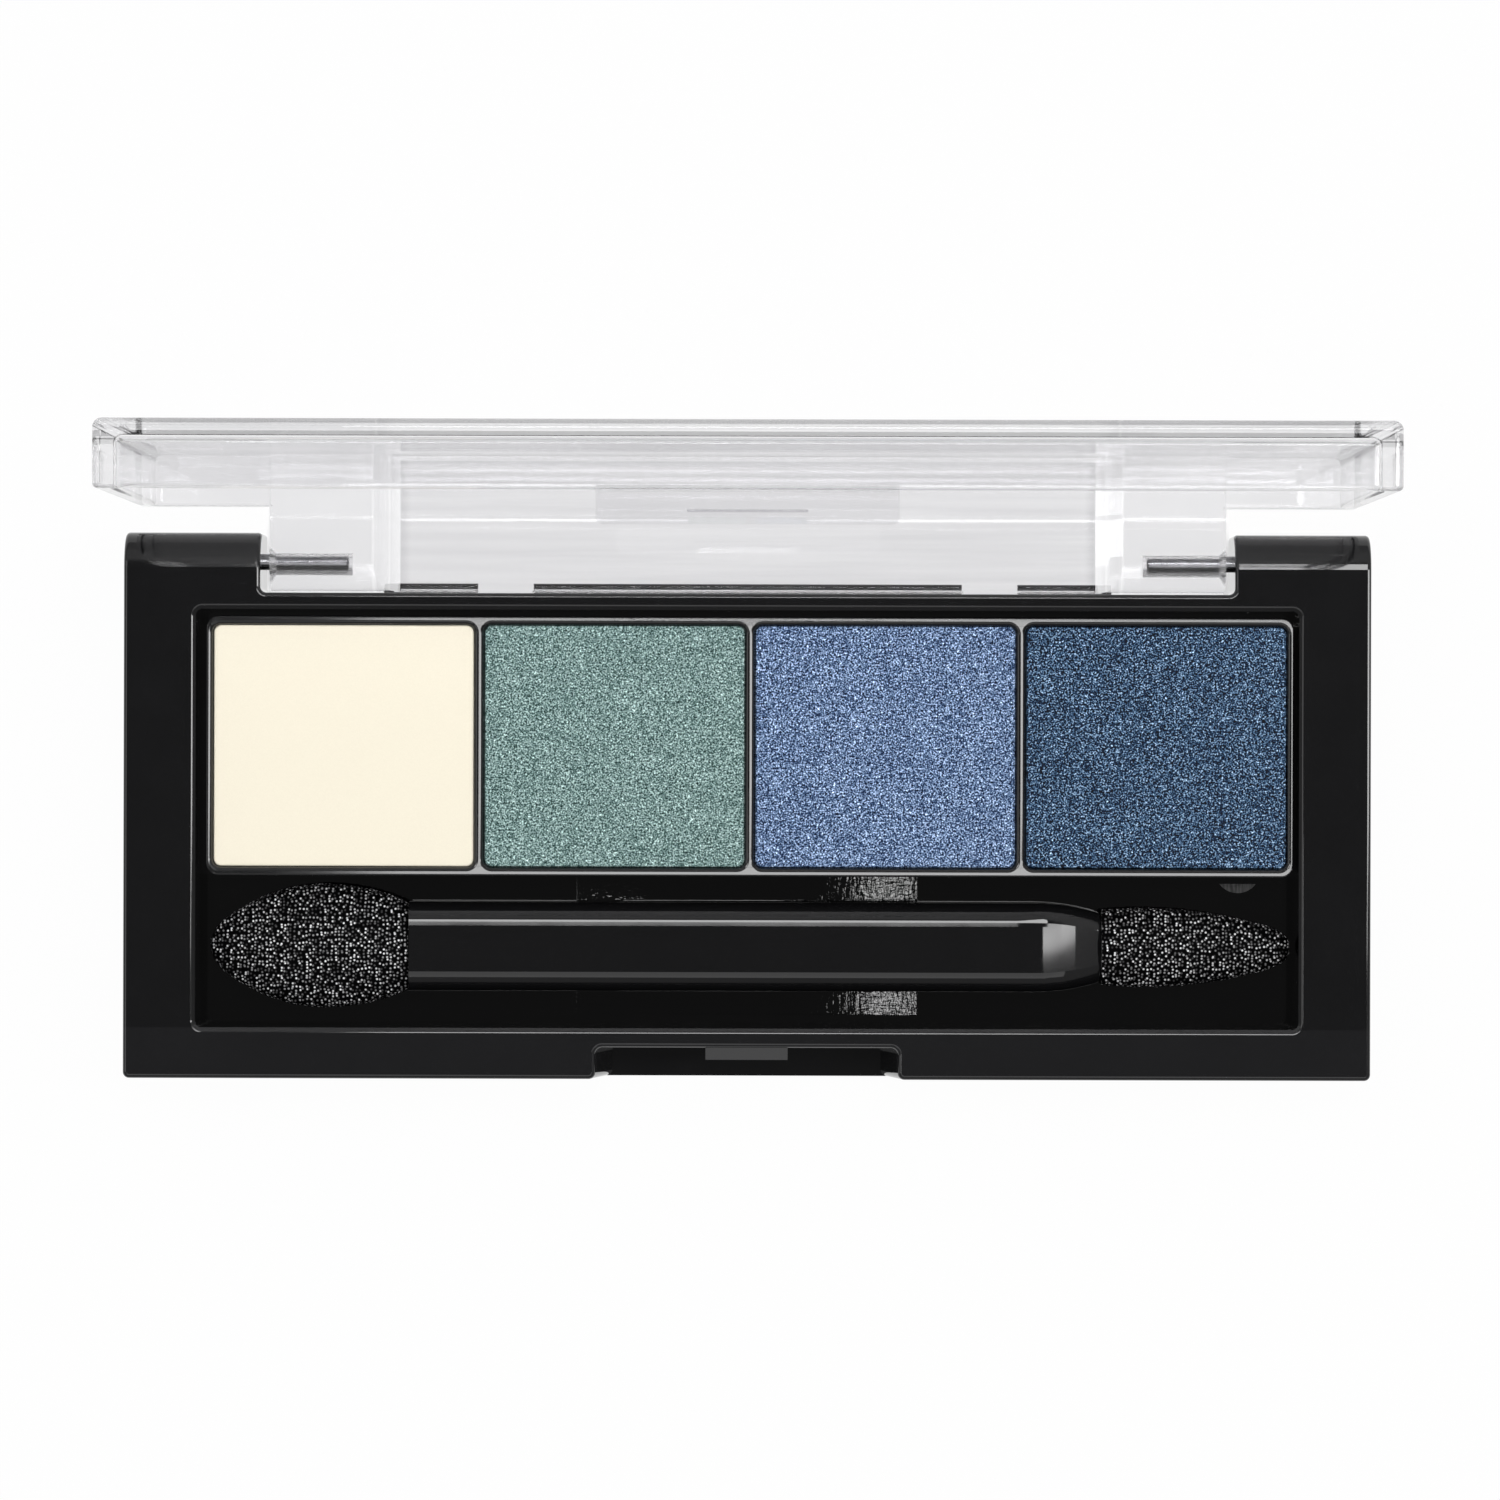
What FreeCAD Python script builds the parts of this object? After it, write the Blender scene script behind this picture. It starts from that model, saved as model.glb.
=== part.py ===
"""Eyeshadow palette: black case, clear hinged lid, four pressed powders and a sponge applicator.

Millimetres, +Z up. The origin is the centre of the case's underside, +X runs to the right along
the row of powders and +Y to the hinge. The lid is drawn closed about its hinge axis and stands
open on its stop lugs.
"""
import FreeCAD, Part
import math
import os
import re

import Sketcher

# Driving dimensions: name, value and what it measures
SIZES = [
    ("case_width", 92.0, "case, left to right"),
    ("case_depth", 40.3, "case, front wall to the back of the hinge ears"),
    ("case_height", 8.0, "case, underside to rim"),
    ("floor_thickness", 1.5, "floor of the case"),
    ("side_frame", 5.3, "rim beside the recess"),
    ("front_frame", 3.75, "rim in front of the recess"),
    ("hinge_wall", 1.22, "wall between the recess and the hinge notch"),
    ("case_corner_radius", 0.45, "upright corners of the case"),
    ("case_edge_radius", 0.3, "top edges of the case"),
    ("recess_corner_radius", 0.5, "upright corners of the recess"),
    ("recess_edge_chamfer", 0.25, "top edge of the recess"),
    ("ear_width", 10.05, "each hinge ear, left to right"),
    ("ear_round", 2.6, "rounding along the top of each ear's back"),
    ("foot_depth", 0.85, "foot of the hinge wall, out of the wall"),
    ("foot_height", 0.95, "foot of the hinge wall above the underside"),
    ("foot_end_gap", 0.6, "each end of the foot to the hinge block"),
    ("foot_lug_gap", 0.05, "foot to each side of a stop lug"),
    ("foot_radius", 0.3, "rounded edge of the foot"),
    ("latch_width", 22.4, "thumb notch at the rim"),
    ("latch_slope", 1.2, "how far each side of the thumb notch leans in"),
    ("latch_depth", 2.35, "thumb notch, front to back"),
    ("latch_floor", 1.3, "floor of the thumb notch above the underside"),
    ("latch_corner_radius", 0.5, "upright corners of the thumb notch"),
    ("catch_width", 6.06, "catch, left to right"),
    ("catch_proud", 0.92, "catch, out of the notch's back wall"),
    ("catch_height", 1.0, "catch, bottom to top"),
    ("catch_drop", 0.4, "top of the catch below the rim"),
    ("catch_lead", 0.24, "fall of the catch's sloped top, wall to tip"),
    ("scoop_length", 25.4, "finger scoop under the handle, left to right"),
    ("scoop_depth", 1.0, "finger scoop at its deepest"),
    ("scoop_margin", 0.8, "floor left between the scoop and the front of the recess"),
    ("ejector_diameter", 2.7, "ejector mark on the trough floor"),
    ("ejector_depth", 0.1, "depth of the ejector mark"),
    ("ejector_x", 36.1, "ejector mark, right of the middle"),
    ("pin_diameter", 1.2, "hinge pins"),
    ("pin_reach", 5.8, "hinge pins, into the lid"),
    ("pin_chamfer", 0.15, "both ends of the hinge pins"),
    ("pin_inset", 0.6, "outer end of each pin below the case's side"),
    ("pin_back_offset", 2.13, "pin axis to the back of the ears, also the knuckle's radius"),
    ("pin_height", 3.9, "pin axis above the underside"),
    ("pin_clearance", 0.05, "radial running clearance of the pins in the lid"),
    ("knuckle_gap", 0.21, "hinge knuckle to the wall of the notch"),
    ("tray_side_gap", 0.55, "tray to the sides of the recess"),
    ("tray_back_gap", 0.46, "tray to the back of the recess"),
    ("tray_drop", 0.6, "top of the tray below the rim"),
    ("tray_corner_radius", 0.9, "upright corners of the tray"),
    ("tray_shift", 0.2, "tray, right of the middle of the recess"),
    ("tray_rim_radius", 0.15, "rounding of the tray's outer edge"),
    ("ridge_radius", 0.32, "rounding of the ridges to the wells"),
    ("tray_skirt", 1.0, "walls under the wells"),
    ("tray_hollow", 1.15, "hollow under the wells, floor to ceiling"),
    ("well_ridge", 0.7, "ridge between two wells"),
    ("end_ridge", 0.5, "ridge at each end of the row of wells"),
    ("long_ridge", 0.65, "ridges in front of and behind the wells"),
    ("well_floor", 1.0, "floor of the wells"),
    ("well_corner_radius", 0.6, "upright corners of the wells"),
    ("pan_clearance", 0.05, "pan to the walls of its well"),
    ("pan_wall", 0.2, "sheet of the pan"),
    ("powder_crown", 0.25, "powder above the rim of its pan"),
    ("powder_edge_radius", 0.15, "rounded edge of the powder"),
    ("powder_drop", 0.3, "powder below the top of the tray"),
    ("glue_diameter", 8.0, "glue dot under each pan"),
    ("glue_thickness", 0.2, "glue dot under each pan"),
    ("lid_side_inset", 0.62, "lid inside the case's sides"),
    ("lid_front_inset", 0.3, "lid inside the case's front"),
    ("lid_depth", 4.88, "lid, rim to top"),
    ("lid_panel", 1.1, "top panel of the lid"),
    ("lid_wall", 1.4, "walls of the lid"),
    ("lid_corner_radius", 0.66, "upright corners of the lid"),
    ("lid_edge_radius", 0.65, "edges round the lid's top"),
    ("lid_inner_radius", 0.6, "corners inside the lid"),
    ("lid_rim_radius", 0.35, "edges of the lid's rim"),
    ("rim_gap", 0.05, "closed lid's rim above the case's rim"),
    ("hinge_side_gap", 0.55, "hinge block to the ear beside it"),
    ("block_width", 7.65, "hinge block, left to right"),
    ("block_taper", 1.9, "slope from the hinge block to the plate"),
    ("plate_thickness", 1.5, "hinge plate between the blocks"),
    ("plate_round", 0.5, "rounded outer edge of the plate's end"),
    ("plate_gap", 0.14, "end of the plate to the notch wall, lid open"),
    ("lug_width", 4.05, "stop lugs, left to right"),
    ("lug_offset", 18.05, "middle of each stop lug from the middle of the lid"),
    ("lug_gap", 0.02, "stop lugs to the notch wall, lid open"),
    ("bore_end_gap", 0.3, "inner end of each pin to the end of its bore"),
    ("bore_lead", 0.45, "countersink at the mouth of each bore"),
    ("tab_side_gap", 0.7, "thumb tab to each side of the notch at the rim"),
    ("tab_reach", 2.4, "thumb tab below the lid's rim"),
    ("tab_corner_radius", 0.55, "corners of the thumb tab"),
    ("tab_gap", 0.13, "closed tab to the catch"),
    ("hook_width", 8.2, "hook inside the tab, left to right"),
    ("hook_bite", 0.25, "hook under the catch, lid closed"),
    ("hook_gap", 0.05, "hook below the catch, lid closed"),
    ("hook_nose", 0.4, "upright nose of the hook above its lead"),
    ("sponge_floor_gap", 0.2, "oval sponge above the floor"),
    ("sponge_front_gap", 1.37, "oval sponge to the front of the recess"),
    ("sponge_back_gap", 0.63, "oval sponge to the tray"),
    ("sponge_left_gap", 0.85, "tip of the oval sponge to the left of the recess"),
    ("sponge_right_gap", 0.35, "tip of the pointed sponge to the right of the recess"),
    ("handle_width", 6.6, "handle, front to back"),
    ("handle_thickness", 4.96, "handle, bottom to top"),
    ("handle_round", 1.45, "rounded long edges of the handle"),
    ("nose_length", 5.0, "drawn-in right end of the handle"),
    ("nose_side_draw", 0.75, "how far each side of the nose is drawn in"),
    ("nose_top_draw", 0.95, "how far the top and bottom of the nose are drawn in"),
    ("nose_round", 0.45, "rounded end of the nose"),
    ("paddle_thickness", 1.2, "paddles inside the sponges"),
    ("paddle_length", 8.0, "paddles inside the sponges"),
    ("oval_paddle_width", 3.6, "paddle in the oval sponge"),
    ("point_paddle_width", 2.4, "paddle in the pointed sponge"),
    ("paddle_end_gap", 0.3, "foam slot beyond each paddle"),
    ("oval_length", 14.85, "oval sponge"),
    ("oval_widest", 8.5, "widest place of the oval sponge, from its tip"),
    ("oval_width", 9.2, "oval sponge at its widest"),
    ("oval_tip_width", 1.6, "oval sponge at its tip"),
    ("oval_end_width", 6.5, "oval sponge at the handle"),
    ("oval_thickness", 5.0, "oval sponge at its thickest"),
    ("oval_tip_thickness", 1.0, "oval sponge at its tip"),
    ("oval_end_thickness", 4.5, "oval sponge at the handle"),
    ("oval_tip_round", 0.5, "rounded tip of the oval sponge"),
    ("point_length", 14.1, "pointed sponge"),
    ("point_widest", 10.6, "widest place of the pointed sponge, from its tip"),
    ("point_width", 5.9, "pointed sponge at its widest"),
    ("point_tip_width", 2.0, "pointed sponge at its tip"),
    ("point_end_width", 5.6, "pointed sponge at the handle"),
    ("point_thickness", 4.2, "pointed sponge at its thickest"),
    ("point_tip_thickness", 1.4, "pointed sponge at its tip"),
    ("point_end_thickness", 3.9, "pointed sponge at the handle"),
    ("point_tip_round", 1.0, "rounded tip of the pointed sponge"),
]

# Places worked out from the driving dimensions
PLACES = {
    "half_width": "case_width / 2",
    "front": "-case_depth / 2",
    "back": "case_depth / 2",
    "notch_half": "half_width - ear_width",
    "notch_wall": "back - 2 * pin_back_offset - knuckle_gap",
    "foot_end": "block_start - foot_end_gap",
    "lug_room": "lug_width / 2 + foot_lug_gap",
    "recess_half": "half_width - side_frame",
    "recess_front": "front + front_frame",
    "recess_back": "notch_wall - hinge_wall",
    "latch_wall": "front + latch_depth",
    "catch_top": "case_height - catch_drop",
    "catch_bottom": "catch_top - catch_height",
    "catch_tip": "latch_wall - catch_proud",
    "scoop_front": "recess_front + scoop_margin",
    "scoop_radius": "((scoop_length / 2) ^ 2 + scoop_depth ^ 2) / (2 * scoop_depth)",
    "pin_y": "back - pin_back_offset",
    "pin_start": "half_width - pin_inset",
    "pin_end": "block_end - pin_reach",
    "pin_length": "pin_start - pin_end",
    "tray_half": "recess_half - tray_side_gap",
    "tray_back": "recess_back - tray_back_gap",
    "trough_width": "oval_width + sponge_front_gap + sponge_back_gap",
    "tray_front": "recess_front + trough_width",
    "tray_middle": "(tray_front + tray_back) / 2",
    "tray_top": "case_height - tray_drop",
    "powder_top": "tray_top - powder_drop",
    "pan_rim": "powder_top - powder_crown",
    "well_bottom": "floor_thickness + tray_hollow",
    "glue_bottom": "well_bottom + well_floor",
    "pan_bottom": "glue_bottom + glue_thickness",
    "pan_height": "pan_rim - pan_bottom",
    "well_width": "(2 * (tray_half - end_ridge) - 3 * well_ridge) / 4",
    "well_pitch": "well_width + well_ridge",
    "well_length": "tray_back - tray_front - 2 * long_ridge",
    "pan_width": "well_width - 2 * pan_clearance",
    "pan_length": "well_length - 2 * pan_clearance",
    "rim_z": "case_height + rim_gap - pin_height",
    "lid_top": "rim_z + lid_depth",
    "lid_ceiling": "lid_top - lid_panel",
    "lid_half": "half_width - lid_side_inset",
    "lid_front": "front + lid_front_inset - pin_y",
    "knuckle_radius": "pin_back_offset",
    "block_end": "notch_half - hinge_side_gap",
    "block_start": "block_end - block_width",
    "taper_start": "block_start - block_taper",
    "plate_inside": "pin_back_offset - plate_thickness",
    "stop_reach": "pin_y - notch_wall",
    "plate_end": "plate_gap - stop_reach",
    "lug_end": "lug_gap - stop_reach",
    "bore_radius": "pin_diameter / 2 + pin_clearance",
    "bore_end": "pin_end - bore_end_gap",
    "tab_inside": "catch_tip - tab_gap - pin_y",
    "tab_end": "rim_z - tab_reach",
    "tab_width": "latch_width - 2 * tab_side_gap",
    "hook_tip": "catch_tip + hook_bite - pin_y",
    "hook_top": "catch_bottom - hook_gap - pin_height",
    "applicator_y": "recess_front + sponge_front_gap + oval_width / 2",
    "applicator_z": "floor_thickness + sponge_floor_gap + oval_thickness / 2",
    "handle_start": "sponge_left_gap + oval_length - recess_half",
    "handle_end": "recess_half - sponge_right_gap - point_length",
    "handle_length": "handle_end - handle_start",
    "nose_start": "handle_end - nose_length",
    "nose_half_width": "handle_width / 2 - nose_side_draw",
    "nose_half_thickness": "handle_thickness / 2 - nose_top_draw",
    "nose_side_radius": "(nose_length ^ 2 + nose_side_draw ^ 2) / (2 * nose_side_draw)",
    "nose_top_radius": "(nose_length ^ 2 + nose_top_draw ^ 2) / (2 * nose_top_draw)",
}

POWDERS = ["cream", "green", "blue", "navy"]
OPEN_ANGLE = -90.0
OVERCUT = 1.0
OVERLAP = 0.3
TOUCH = 1e-4

doc = FreeCAD.newDocument("EyeshadowPalette")
sheet = doc.addObject("Spreadsheet::Sheet", "Sizes")
for row, (alias, value, meaning) in enumerate(SIZES, start=1):
    sheet.set(f"A{row}", meaning)
    sheet.set(f"B{row}", str(value))
    sheet.setAlias(f"B{row}", alias)
doc.recompute()
ALIASES = {alias for alias, value, meaning in SIZES}


def bound(text):
    """An expression in plain names, rewritten on the cells of the sheet."""

    def cell(match):
        name = match.group(0)
        if name in PLACES:
            return f"({bound(PLACES[name])})"
        return f"Sizes.{name}" if name in ALIASES else name

    return re.sub(r"[a-z][a-z_]*", cell, text)


def size(text):
    """The value of an expression in plain names."""
    return float(sheet.evalExpression(bound(text)))


def new_body(name):
    body = doc.addObject("PartDesign::Body", name)
    body.Label = name
    return body


def new_sketch(body, name, plane, offset=None):
    """A sketch on one of the body's own planes, moved along the plane's normal."""
    sketch = body.newObject("Sketcher::SketchObject", f"{body.Name}_{name}")
    support = next(f for f in body.Origin.OriginFeatures if f.Role == f"{plane}_Plane")
    sketch.AttachmentSupport = [(support, "")]
    sketch.MapMode = "FlatFace"
    if offset:
        sketch.setExpression("AttachmentOffset.Base.z", bound(offset))
    return sketch


def place_point(sketch, edge, end, x, y):
    """Holds a point of an edge at two bound distances from the sketch's origin."""
    for kind, text in (("DistanceX", x), ("DistanceY", y)):
        index = sketch.addConstraint(Sketcher.Constraint(kind, -1, 1, edge, end, size(text)))
        sketch.setExpression(f"Constraints[{index}]", bound(text))


def polygon(sketch, points):
    """A closed outline of straight lines through bound points."""
    first = sketch.GeometryCount
    corners = [FreeCAD.Vector(size(x), size(y), 0) for x, y in points]
    count = len(points)
    for i in range(count):
        sketch.addGeometry(Part.LineSegment(corners[i], corners[(i + 1) % count]), False)
    for i in range(count):
        sketch.addConstraint(
            Sketcher.Constraint("Coincident", first + i, 2, first + (i + 1) % count, 1)
        )
    for i, (x, y) in enumerate(points):
        place_point(sketch, first + i, 1, x, y)


def rectangle(sketch, left, right, low, high):
    polygon(sketch, [(left, low), (right, low), (right, high), (left, high)])


def circle(sketch, x, y, radius):
    edge = sketch.addGeometry(
        Part.Circle(FreeCAD.Vector(size(x), size(y), 0), FreeCAD.Vector(0, 0, 1), size(radius)),
        False,
    )
    place_point(sketch, edge, 3, x, y)
    index = sketch.addConstraint(Sketcher.Constraint("Radius", edge, size(radius)))
    sketch.setExpression(f"Constraints[{index}]", bound(radius))


def arc_segment(sketch, points, through, radius):
    """Straight lines through bound points, closed by one arc of bound radius."""
    first = sketch.GeometryCount
    corners = [FreeCAD.Vector(size(x), size(y), 0) for x, y in points]
    last = len(points) - 1
    for i in range(last):
        sketch.addGeometry(Part.LineSegment(corners[i], corners[i + 1]), False)
    middle = FreeCAD.Vector(size(through[0]), size(through[1]), 0)
    anticlockwise = (middle - corners[last]).cross(corners[0] - corners[last]).z > 0
    ends = (corners[last], corners[0]) if anticlockwise else (corners[0], corners[last])
    arc = sketch.addGeometry(Part.Arc(ends[0], middle, ends[1]), False)
    for i in range(last - 1):
        sketch.addConstraint(Sketcher.Constraint("Coincident", first + i, 2, first + i + 1, 1))
    joined = 1 if anticlockwise else 2
    sketch.addConstraint(Sketcher.Constraint("Coincident", first + last - 1, 2, arc, joined))
    sketch.addConstraint(Sketcher.Constraint("Coincident", first, 1, arc, 3 - joined))
    for i, (x, y) in enumerate(points[:-1]):
        place_point(sketch, first + i, 1, x, y)
    place_point(sketch, first + last - 1, 2, *points[-1])
    index = sketch.addConstraint(Sketcher.Constraint("Radius", arc, size(radius)))
    sketch.setExpression(f"Constraints[{index}]", bound(radius))


def extrude(body, kind, sketch, length, symmetric=False, reverse=False):
    """A pad or a pocket of a sketch, which has to change the body's volume."""
    before = body.Shape.Volume if body.Tip else 0.0
    feature = body.newObject(f"PartDesign::{kind}", f"{sketch.Name}_{kind.lower()}")
    feature.Profile = sketch
    if symmetric:
        feature.SideType = "Symmetric"
    feature.Reversed = reverse
    feature.setExpression("Length", bound(length))
    doc.recompute()
    gain = body.Shape.Volume - before
    if (gain <= 0) == (kind == "Pad"):
        raise RuntimeError(f"{feature.Name} changes the volume by {gain:.4f}")
    return feature


def turn(body, kind, sketch):
    """A revolution or a groove of a sketch about its own horizontal axis."""
    feature = body.newObject(f"PartDesign::{kind}", f"{sketch.Name}_{kind.lower()}")
    feature.Profile = sketch
    feature.ReferenceAxis = (sketch, ["H_Axis"])
    doc.recompute()
    return feature


def edges_where(body, test):
    """Names of the edges whose box of corners passes a test."""
    names = []
    for i, edge in enumerate(body.Shape.Edges, start=1):
        box = edge.BoundBox
        low = (box.XMin, box.YMin, box.ZMin)
        high = (box.XMax, box.YMax, box.ZMax)
        if test(low, high):
            names.append(f"Edge{i}")
    return names


def same(a, b):
    return abs(a - b) < 1e-3


def at(low, high, axis, value):
    """Whether an edge lies wholly at one place along an axis."""
    return same(low[axis], value) and same(high[axis], value)


def upright(low, high):
    return at(low, high, 0, low[0]) and at(low, high, 1, low[1])


def round_edges(body, name, radius, test, kind="Fillet"):
    """A fillet or a chamfer of bound size on every edge that passes a test."""
    names = edges_where(body, test)
    if not names:
        raise RuntimeError(f"no edges for {name} on {body.Name}")
    base = body.Tip
    feature = body.newObject(f"PartDesign::{kind}", f"{body.Name}_{name}")
    feature.Base = (base, names)
    feature.setExpression("Radius" if kind == "Fillet" else "Size", bound(radius))
    doc.recompute()
    if "Invalid" in feature.State or not feature.Shape.isValid():
        raise RuntimeError(f"{feature.Name} failed on {names}")
    return feature


def put(piece, x="0", y="0", z="0"):
    """Binds the place of a piece's own origin."""
    for axis, text in (("x", x), ("y", y), ("z", z)):
        piece.setExpression(f"Placement.Base.{axis}", bound(text))


def make_base_case():
    body = new_body("base_case")
    outline = new_sketch(body, "outline", "XY")
    rectangle(outline, "-half_width", "half_width", "front", "back")
    extrude(body, "Pad", outline, "case_height")
    top = size("case_height")
    front = size("front")
    back = size("back")
    side = size("half_width")
    round_edges(
        body, "ear_rounding", "ear_round",
        lambda low, high: at(low, high, 2, top) and at(low, high, 1, back),
    )

    notch = new_sketch(body, "hinge_notch", "XY", "case_height")
    rectangle(notch, "-notch_half", "notch_half", "notch_wall", f"back + {OVERCUT}")
    extrude(body, "Pocket", notch, "case_height")
    foot = new_sketch(body, "hinge_wall_foot", "XY")
    for start, end in (
        ("-foot_end", "-lug_offset - lug_room"),
        ("lug_room - lug_offset", "lug_offset - lug_room"),
        ("lug_offset + lug_room", "foot_end"),
    ):
        rectangle(foot, start, end, f"notch_wall - {OVERLAP}", "notch_wall + foot_depth")
    extrude(body, "Pad", foot, "foot_height")
    foot_back = size("notch_wall + foot_depth")
    foot_top = size("foot_height")
    round_edges(
        body, "foot_edge", "foot_radius",
        lambda low, high: at(low, high, 1, foot_back) and at(low, high, 2, foot_top),
    )
    recess = new_sketch(body, "recess", "XY", "case_height")
    rectangle(recess, "-recess_half", "recess_half", "recess_front", "recess_back")
    extrude(body, "Pocket", recess, "case_height - floor_thickness")
    recess_half = size("recess_half")
    round_edges(
        body, "recess_corners", "recess_corner_radius",
        lambda low, high: upright(low, high) and same(abs(low[0]), recess_half),
    )

    latch = new_sketch(body, "thumb_notch", "XZ", "-latch_wall")
    polygon(
        latch,
        [
            ("latch_slope - latch_width / 2", "latch_floor"),
            ("latch_width / 2 - latch_slope", "latch_floor"),
            ("latch_width / 2", "case_height"),
            ("latch_width / 2", f"case_height + {OVERCUT}"),
            ("-latch_width / 2", f"case_height + {OVERCUT}"),
            ("-latch_width / 2", "case_height"),
        ],
    )
    extrude(body, "Pocket", latch, f"latch_depth + {OVERCUT}", reverse=True)
    latch_half = size("latch_width / 2")
    latch_wall = size("latch_wall")
    latch_floor = size("latch_floor")
    round_edges(
        body, "thumb_notch_corners", "latch_corner_radius",
        lambda low, high: same(low[2], latch_floor) and same(high[2], top)
        and same(max(abs(low[0]), abs(high[0])), latch_half),
    )
    catch = new_sketch(body, "catch", "YZ")
    polygon(
        catch,
        [
            ("catch_tip", "catch_bottom"),
            (f"latch_wall + {OVERLAP}", "catch_bottom"),
            (f"latch_wall + {OVERLAP}", "catch_top"),
            ("latch_wall", "catch_top"),
            ("catch_tip", "catch_top - catch_lead"),
        ],
    )
    extrude(body, "Pad", catch, "catch_width", symmetric=True)

    bores = new_sketch(body, "pin_bores", "YZ")
    circle(bores, "pin_y", "pin_height", "pin_diameter / 2")
    extrude(body, "Pocket", bores, f"case_width + {OVERCUT}", symmetric=True)
    scoop = new_sketch(body, "finger_scoop", "XZ", "-scoop_front")
    arc_segment(
        scoop,
        [("-scoop_length / 2", "floor_thickness"), ("scoop_length / 2", "floor_thickness")],
        ("0", "floor_thickness - scoop_depth"),
        "scoop_radius",
    )
    extrude(body, "Pocket", scoop, "tray_front - scoop_front")
    mark = new_sketch(body, "ejector_mark", "XY", "floor_thickness")
    circle(mark, "ejector_x", "tray_front + ejector_diameter / 4 - ejector_depth", "ejector_diameter / 2")
    extrude(body, "Pocket", mark, "ejector_depth")

    round_edges(
        body, "corners", "case_corner_radius",
        lambda low, high: upright(low, high) and same(abs(low[0]), side) and same(low[1], front),
    )
    notch_half = size("notch_half")
    notch_wall = size("notch_wall")
    round_edges(
        body, "notch_corners", "case_corner_radius",
        lambda low, high: upright(low, high) and same(abs(low[0]), notch_half)
        and same(low[1], notch_wall),
    )
    recess_front = size("recess_front")
    recess_back = size("recess_back")

    def on_recess_edge(low, high):
        inside = max(abs(low[0]), abs(high[0])) < recess_half + TOUCH
        between = low[1] > recess_front - TOUCH and high[1] < recess_back + TOUCH
        return at(low, high, 2, top) and inside and between

    round_edges(body, "recess_edge", "recess_edge_chamfer", on_recess_edge, kind="Chamfer")

    def on_outer_edge(low, high):
        on_rim = at(low, high, 2, top)
        outside = high[1] < recess_front - TOUCH or low[1] > recess_back + TOUCH
        outside = outside or min(abs(low[0]), abs(high[0])) > recess_half + TOUCH
        crosses_ear = at(low, high, 1, low[1]) and high[0] - low[0] > 1.0 and low[1] > notch_wall + 1.0
        on_ear = low[1] > notch_wall + 1.0 and high[2] > top - size("ear_round") - TOUCH
        runs_back = same(high[1] - low[1], size("ear_round"))
        return (on_rim and outside and not crosses_ear) or (on_ear and runs_back)

    round_edges(body, "rim", "case_edge_radius", on_outer_edge)
    return body


def make_pan_tray():
    body = new_body("pan_tray")
    outline = new_sketch(body, "outline", "XY", "floor_thickness")
    rectangle(outline, "-tray_half", "tray_half", "tray_front", "tray_back")
    extrude(body, "Pad", outline, "tray_top - floor_thickness")
    round_edges(body, "corners", "tray_corner_radius", upright)

    well = new_sketch(body, "well", "XY", "tray_top")
    first = f"-{(len(POWDERS) - 1) / 2} * well_pitch"
    rectangle(
        well,
        f"{first} - well_width / 2",
        f"{first} + well_width / 2",
        "tray_middle - well_length / 2",
        "tray_middle + well_length / 2",
    )
    cut = extrude(body, "Pocket", well, "tray_top - glue_bottom")
    row = body.newObject("PartDesign::LinearPattern", "pan_tray_wells")
    row.Originals = [cut]
    row.Direction = (well, ["H_Axis"])
    row.setExpression("Length", bound(f"{len(POWDERS) - 1} * well_pitch"))
    row.Occurrences = len(POWDERS)
    body.Tip = row
    doc.recompute()
    well_front = size("tray_middle - well_length / 2")
    well_back = size("tray_middle + well_length / 2")
    round_edges(
        body, "well_corners", "well_corner_radius",
        lambda low, high: upright(low, high)
        and (same(low[1], well_front) or same(low[1], well_back)),
    )

    hollow = new_sketch(body, "hollow", "XY", "floor_thickness")
    rectangle(
        hollow,
        "tray_skirt - tray_half",
        "tray_half - tray_skirt",
        "tray_front + tray_skirt",
        "tray_back - tray_skirt",
    )
    extrude(body, "Pocket", hollow, "tray_hollow", reverse=True)
    top = size("tray_top")
    side = size("tray_half")
    front = size("tray_front")
    back = size("tray_back")

    def on_outline(low, high):
        sideways = same(low[0], -side) or same(high[0], side)
        return sideways or same(low[1], front) or same(high[1], back)

    round_edges(
        body, "ridges", "ridge_radius",
        lambda low, high: at(low, high, 2, top) and not on_outline(low, high),
    )
    round_edges(
        body, "outer_edge", "tray_rim_radius",
        lambda low, high: at(low, high, 2, top) and on_outline(low, high),
    )
    put(body, "tray_shift")
    return body


def block(body, name, width, length, low, high, kind="Pad"):
    """A block or a pocket centred on the body's own Z axis."""
    sketch = new_sketch(body, name, "XY", low)
    rectangle(sketch, f"-({width}) / 2", f"({width}) / 2", f"-({length}) / 2", f"({length}) / 2")
    extrude(body, kind, sketch, f"{high} - ({low})", reverse=kind == "Pocket")


def block_corners(body, name, width, radius):
    side = size(f"({width}) / 2")
    round_edges(
        body, f"{name}_corners", radius,
        lambda low, high: upright(low, high) and same(abs(low[0]), side),
    )


def pan_place(index):
    return f"tray_shift + {index - (len(POWDERS) - 1) / 2} * well_pitch"


INSIDE_WIDTH = "pan_width - 2 * pan_wall"
INSIDE_LENGTH = "pan_length - 2 * pan_wall"
OUTER_RADIUS = "well_corner_radius - pan_clearance"
INNER_RADIUS = "well_corner_radius - pan_clearance - pan_wall"


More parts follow.
